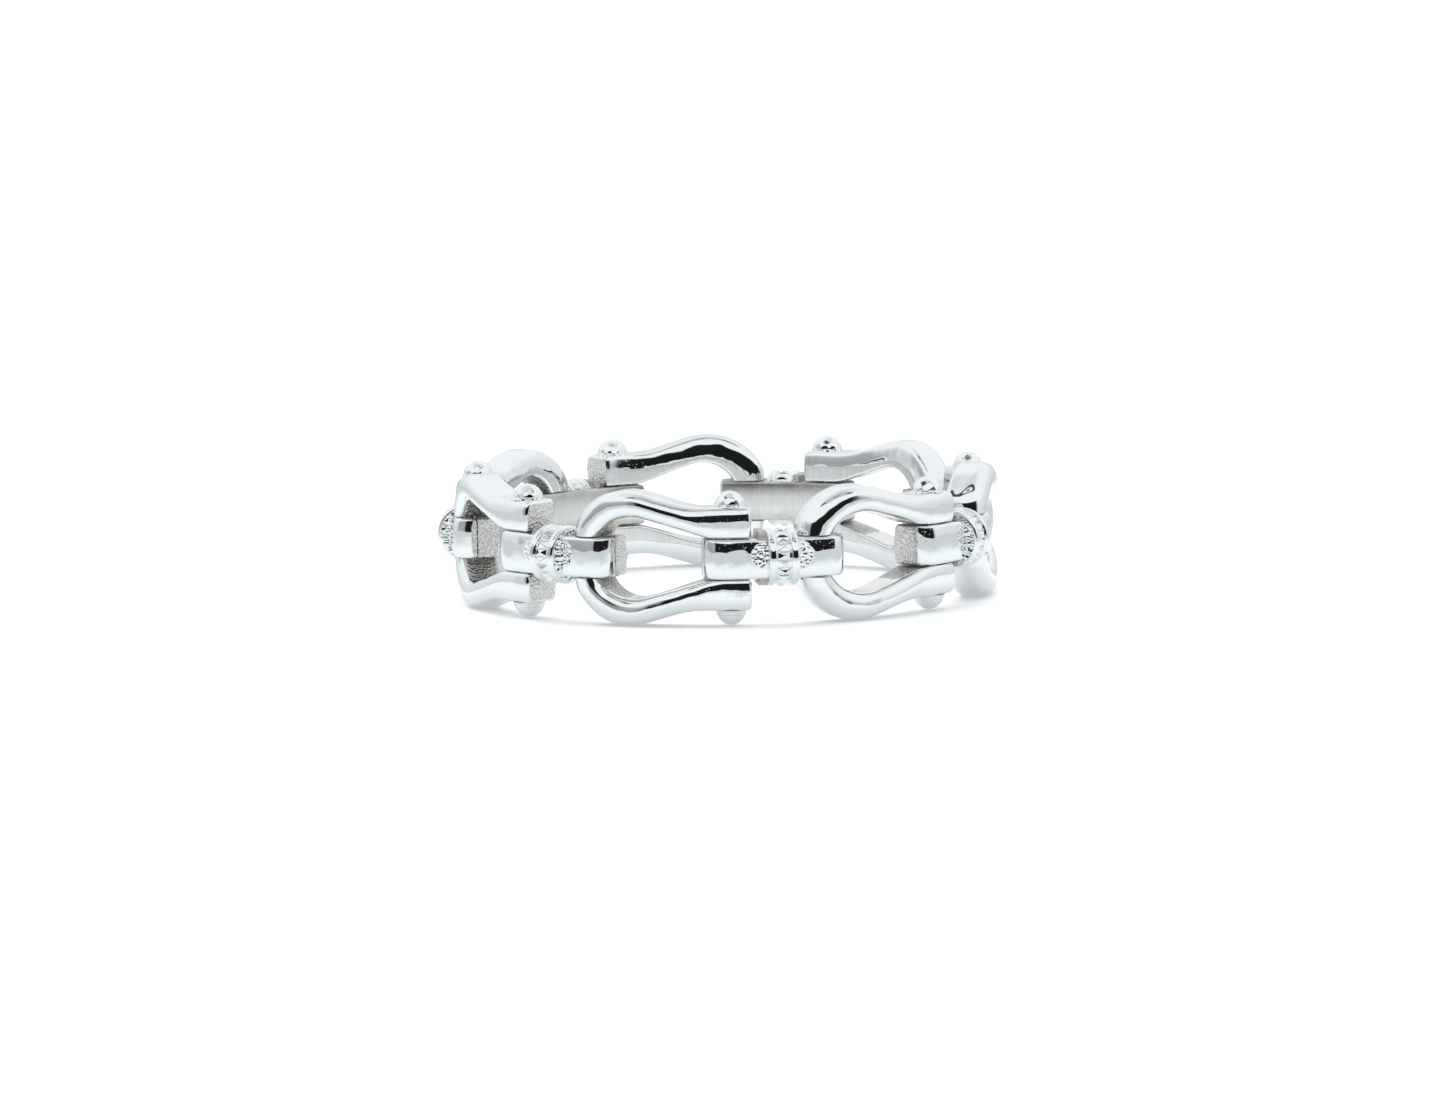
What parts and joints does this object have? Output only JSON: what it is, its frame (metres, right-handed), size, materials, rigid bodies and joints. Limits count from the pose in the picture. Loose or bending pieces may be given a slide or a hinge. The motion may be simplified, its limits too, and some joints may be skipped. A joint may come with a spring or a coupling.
{
  "type": "shackle link finger ring",
  "caption": "Flexible finger band of polished bow shackles, joined by pinned straps with beaded collars, whose links turn on their pins and crowns.",
  "frame": {"origin": "centre of the finger hole, at mid height of the band", "axes": "+Z along the finger hole, through the band's width; -Y points to the pin of shackle 1; the numbers go round anticlockwise seen from +Z"},
  "size_m": [0.021, 0.0212, 0.005],
  "materials": {
    "polished_bow": "mirror polish, with a satin finger side",
    "polished_pin": "polished, lightly peened domes",
    "cast_strap": "polished pads with grained cast recesses",
    "beaded_collar": "polished rims and bright milgrain beads",
    "satin_keeper": "satin, with fine streaks across the band"
  },
  "bodies": {
    "shackle_1": {"bow_1": "polished_bow", "pin_1": "polished_pin", "pin_cap_1": "polished_pin"},
    "link_1": {"tang_1": "cast_strap", "collar_1": "beaded_collar", "saddle_1": "cast_strap", "keeper_1": "satin_keeper"},
    "shackle_2": {"bow_2": "polished_bow", "pin_2": "polished_pin", "pin_cap_2": "polished_pin"},
    "link_2": {"tang_2": "cast_strap", "collar_2": "beaded_collar", "saddle_2": "cast_strap", "keeper_2": "satin_keeper"},
    "shackle_3": {"bow_3": "polished_bow", "pin_3": "polished_pin", "pin_cap_3": "polished_pin"},
    "link_3": {"tang_3": "cast_strap", "collar_3": "beaded_collar", "saddle_3": "cast_strap", "keeper_3": "satin_keeper"},
    "shackle_4": {"bow_4": "polished_bow", "pin_4": "polished_pin", "pin_cap_4": "polished_pin"},
    "link_4": {"tang_4": "cast_strap", "collar_4": "beaded_collar", "saddle_4": "cast_strap", "keeper_4": "satin_keeper"},
    "shackle_5": {"bow_5": "polished_bow", "pin_5": "polished_pin", "pin_cap_5": "polished_pin"},
    "link_5": {"tang_5": "cast_strap", "collar_5": "beaded_collar", "saddle_5": "cast_strap", "keeper_5": "satin_keeper"},
    "shackle_6": {"bow_6": "polished_bow", "pin_6": "polished_pin", "pin_cap_6": "polished_pin"},
    "link_6": {"tang_6": "cast_strap", "collar_6": "beaded_collar", "saddle_6": "cast_strap", "keeper_6": "satin_keeper"},
    "shackle_7": {"bow_7": "polished_bow", "pin_7": "polished_pin", "pin_cap_7": "polished_pin"},
    "link_7": {"tang_7": "cast_strap", "collar_7": "beaded_collar", "saddle_7": "cast_strap", "keeper_7": "satin_keeper"}
  },
  "joints": [
    {"name": "pin_pivot_1", "type": "hinge", "parent": "shackle_1", "child": "link_1", "pos_m": [0, -0.00944, 0], "axis": [0, 0, 1], "range_deg": [-12, 12]},
    {"name": "crown_pivot_2", "type": "hinge", "parent": "link_1", "child": "shackle_2", "pos_m": [0.003, -0.00895, 0], "axis": [0, 0, 1], "range_deg": [-12, 12]},
    {"name": "pin_pivot_2", "type": "hinge", "parent": "shackle_2", "child": "link_2", "pos_m": [0.00738, -0.00589, 0], "axis": [0, 0, 1], "range_deg": [-12, 12]},
    {"name": "crown_pivot_3", "type": "hinge", "parent": "link_2", "child": "shackle_3", "pos_m": [0.00887, -0.00324, 0], "axis": [0, 0, 1], "range_deg": [-12, 12]},
    {"name": "pin_pivot_3", "type": "hinge", "parent": "shackle_3", "child": "link_3", "pos_m": [0.0092, 0.0021, 0], "axis": [0, 0, 1], "range_deg": [-12, 12]},
    {"name": "crown_pivot_4", "type": "hinge", "parent": "link_3", "child": "shackle_4", "pos_m": [0.00806, 0.00492, 0], "axis": [0, 0, 1], "range_deg": [-12, 12]},
    {"name": "pin_pivot_4", "type": "hinge", "parent": "shackle_4", "child": "link_4", "pos_m": [0.0041, 0.00851, 0], "axis": [0, 0, 1], "range_deg": [-12, 12]},
    {"name": "crown_pivot_1", "type": "hinge", "parent": "shackle_1", "child": "link_7", "pos_m": [-0.00513, -0.00793, 0], "axis": [0, 0, 1], "range_deg": [-12, 12]},
    {"name": "pin_pivot_7", "type": "hinge", "parent": "link_7", "child": "shackle_7", "pos_m": [-0.00738, -0.00589, 0], "axis": [0, 0, 1], "range_deg": [-12, 12]},
    {"name": "crown_pivot_7", "type": "hinge", "parent": "shackle_7", "child": "link_6", "pos_m": [-0.00939, -0.00093, 0], "axis": [0, 0, 1], "range_deg": [-12, 12]},
    {"name": "pin_pivot_6", "type": "hinge", "parent": "link_6", "child": "shackle_6", "pos_m": [-0.0092, 0.0021, 0], "axis": [0, 0, 1], "range_deg": [-12, 12]},
    {"name": "crown_pivot_6", "type": "hinge", "parent": "shackle_6", "child": "link_5", "pos_m": [-0.00659, 0.00676, 0], "axis": [0, 0, 1], "range_deg": [-12, 12]},
    {"name": "pin_pivot_5", "type": "hinge", "parent": "link_5", "child": "shackle_5", "pos_m": [-0.0041, 0.00851, 0], "axis": [0, 0, 1], "range_deg": [-12, 12]}
  ],
  "couplings": [
    {"joint": "crown_pivot_2", "follows": "crown_pivot_1", "ratio": 0.22252},
    {"joint": "pin_pivot_2", "follows": "pin_pivot_1", "ratio": -0.22252},
    {"joint": "crown_pivot_3", "follows": "crown_pivot_1", "ratio": 0.90097},
    {"joint": "pin_pivot_3", "follows": "pin_pivot_1", "ratio": -0.90097},
    {"joint": "crown_pivot_4", "follows": "crown_pivot_1", "ratio": -0.62349},
    {"joint": "pin_pivot_4", "follows": "pin_pivot_1", "ratio": 0.62349},
    {"joint": "pin_pivot_7", "follows": "pin_pivot_1", "ratio": 0.22252},
    {"joint": "crown_pivot_7", "follows": "crown_pivot_1", "ratio": -0.22252},
    {"joint": "pin_pivot_6", "follows": "pin_pivot_1", "ratio": 0.90097},
    {"joint": "crown_pivot_6", "follows": "crown_pivot_1", "ratio": -0.90097},
    {"joint": "pin_pivot_5", "follows": "pin_pivot_1", "ratio": -0.62349}
  ]
}
